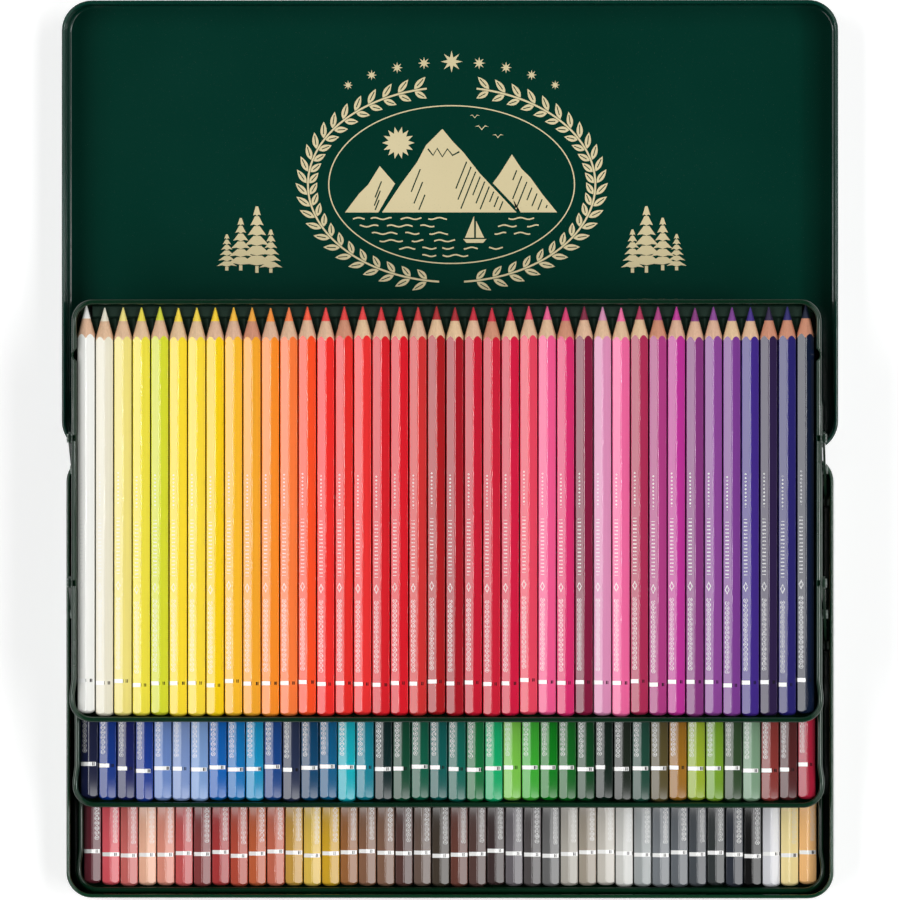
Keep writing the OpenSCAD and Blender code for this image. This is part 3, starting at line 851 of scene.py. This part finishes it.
def draw_design():
    wreath(62, 42, 24)
    oval_line(53, 34, 0.5)
    mountains()
    lake()
    boat(10, 188.5, 10)
    ink_lines.append([])
    star(-23, 230, 7, 14, 0.62)
    for x, y, size in ((13, 236, 3.0), (20, 232.5, 2.4), (10, 241, 2.2)):
        bird(x, y, size)
    ink_lines.append([])
    for k in range(9):
        size = 2.0 + 0.9 * (1 - abs(k - 4) / 4) + (1.8 if k == 4 else 0)
        star(*oval_point(54 + 9 * k, 76, 53), size)
    for side in (1, -1):
        for x, height in ((78, 19), (84, 29), (91, 23), (97, 16)):
            pine(side * x, 174 + (x % 3), height)


def ink():
    material, tree, shader = new_material("cream_ink")
    surface = add(tree, "ShaderNodeGroup", {"Grain": 2600.0, "Relief": 0.1}, node_tree=SURFACE)
    colour = mix(tree, surface.outputs["Clouds"], srgb(222, 208, 166), srgb(214, 200, 156))
    colour = mix(tree, calc(tree, "MULTIPLY", surface.outputs["Specks"], 0.5), colour, srgb(120, 130, 100))
    tree.links.new(colour, shader.inputs["Base Color"])
    tree.links.new(surface.outputs["Normal"], shader.inputs["Normal"])
    shader.inputs["Roughness"].default_value = 0.45
    shader.inputs["Specular IOR Level"].default_value = 0.2
    return material


def print_lid():
    draw_design()
    layers = []
    for number, lines in enumerate(ink_lines):
        curve = bpy.data.curves.new(f"ink_{number}", "CURVE")
        curve.dimensions, curve.fill_mode, curve.extrude = "2D", "BOTH", 0.00001
        for points in lines:
            spline = curve.splines.new("POLY")
            spline.points.add(len(points) - 1)
            spline.use_cyclic_u = True
            for point, (x, y) in zip(spline.points, points):
                point.co = (x * MM, y * MM, 0, 1)
        layer = bpy.data.objects.new(curve.name, curve)
        layer.location.z = number % INK_LAYERS * INK_STEP * MM
        bpy.context.scene.collection.objects.link(layer)
        layers.append(layer)
    pick(*layers)
    bpy.ops.object.convert(target="MESH")
    bpy.ops.object.join()
    piece = bpy.context.object
    piece.name = "lid_print"
    piece.location = (0, 0, INK_Z * MM)
    bpy.ops.object.transform_apply()
    piece.data.materials.clear()
    piece.data.materials.append(ink())
    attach(piece, "lid")
    return piece


lid_print = print_lid()
print("print faces", len(lid_print.data.polygons))

# %% [markdown]
# ## Floor and light
#
# A white floor and backdrop. Two large soft lights hang above, clear of the line in which the flat lid would
# mirror them, and do the lighting. Two more stand far off and low, where only the flats of the pencils mirror
# them: the one on the left lies in the mirror line of the two upper trays, the one on the right in that of the
# lowest. A narrow bright pair draws the thin line beside each edge. The surroundings glow at the horizon, as
# the white sweep of a studio does, more so on the right, and are dim above and dark overhead.

# %% Floor and light
def add_floor():
    bpy.ops.object.select_all(action="DESELECT")
    bpy.ops.mesh.primitive_plane_add(size=8, location=(0, 0, -0.0002))
    floor = bpy.context.object
    floor.name = "floor"
    material, tree, shader = new_material("floor_paper")
    surface = add(tree, "ShaderNodeGroup", {"Grain": 500.0, "Relief": 0.02}, node_tree=SURFACE)
    tree.links.new(mix(tree, surface.outputs["Clouds"], (0.94, 0.94, 0.94, 1), (0.95, 0.95, 0.95, 1)),
                   shader.inputs["Base Color"])
    shader.inputs["Roughness"].default_value = 1.0
    shader.inputs["Specular IOR Level"].default_value = 0.0
    path = add(tree, "ShaderNodeLightPath").outputs
    seen = either(tree, path["Is Camera Ray"], path["Is Glossy Ray"], path["Is Transmission Ray"])
    shader.inputs["Emission Color"].default_value = (1, 1, 1, 1)
    tree.links.new(calc(tree, "MULTIPLY", seen, 0.35), shader.inputs["Emission Strength"])
    floor.data.materials.append(material)


def add_softbox(name, angle, distance, width, y_from, y_to, radiance):
    """A rectangular light at an angle from straight up (positive to the right), aimed at the tin."""
    a = math.radians(angle)
    data = bpy.data.lights.new(name, "AREA")
    data.shape = "RECTANGLE"
    data.size, data.size_y = width, y_to - y_from
    data.energy = radiance * math.pi * data.size * data.size_y
    lamp = bpy.data.objects.new(name, data)
    bpy.context.scene.collection.objects.link(lamp)
    lamp.location = (math.sin(a) * distance, (y_from + y_to) / 2, math.cos(a) * distance + 0.03)
    lamp.rotation_euler = (0, a, 0)
    return lamp


def add_surroundings():
    world = bpy.data.worlds.new("surroundings")
    world.use_nodes = True
    tree = world.node_tree
    direction = add(tree, "ShaderNodeTexCoord").outputs["Generated"]
    right, _, up = add(tree, "ShaderNodeSeparateXYZ", {0: direction}).outputs
    horizon = both(tree, ramp(tree, up, 0.28, 0.4, 0.92, 0.0), ramp(tree, right, -0.5, 0.5, 0.4, 1.0))
    strength = calc(tree, "ADD", horizon, ramp(tree, up, 0.75, 0.95, 0.08, 0.02))
    background = tree.nodes["Background"]
    background.inputs["Color"].default_value = (1, 1, 1, 1)
    tree.links.new(strength, background.inputs["Strength"])
    bpy.context.scene.world = world


add_floor()
add_softbox("left_top", -29, 1.6, 0.55, -0.8, 1.0, 3.8)
add_softbox("right_top", 29, 1.6, 0.55, -0.8, 1.0, 3.8)
add_softbox("left_strip", -62.3, 2.5, 0.40, -0.105, 0.40, 4.0)
add_softbox("right_strip", 57.7, 2.5, 0.40, -0.40, -0.096, 4.0)
add_softbox("left_line", -42, 2.5, 0.24, -0.15, 0.25, 20)
add_softbox("right_line", 38, 2.5, 0.24, -0.15, 0.25, 34)
add_surroundings()

# %% Finish
bpy.context.scene.view_settings.view_transform = "Standard"
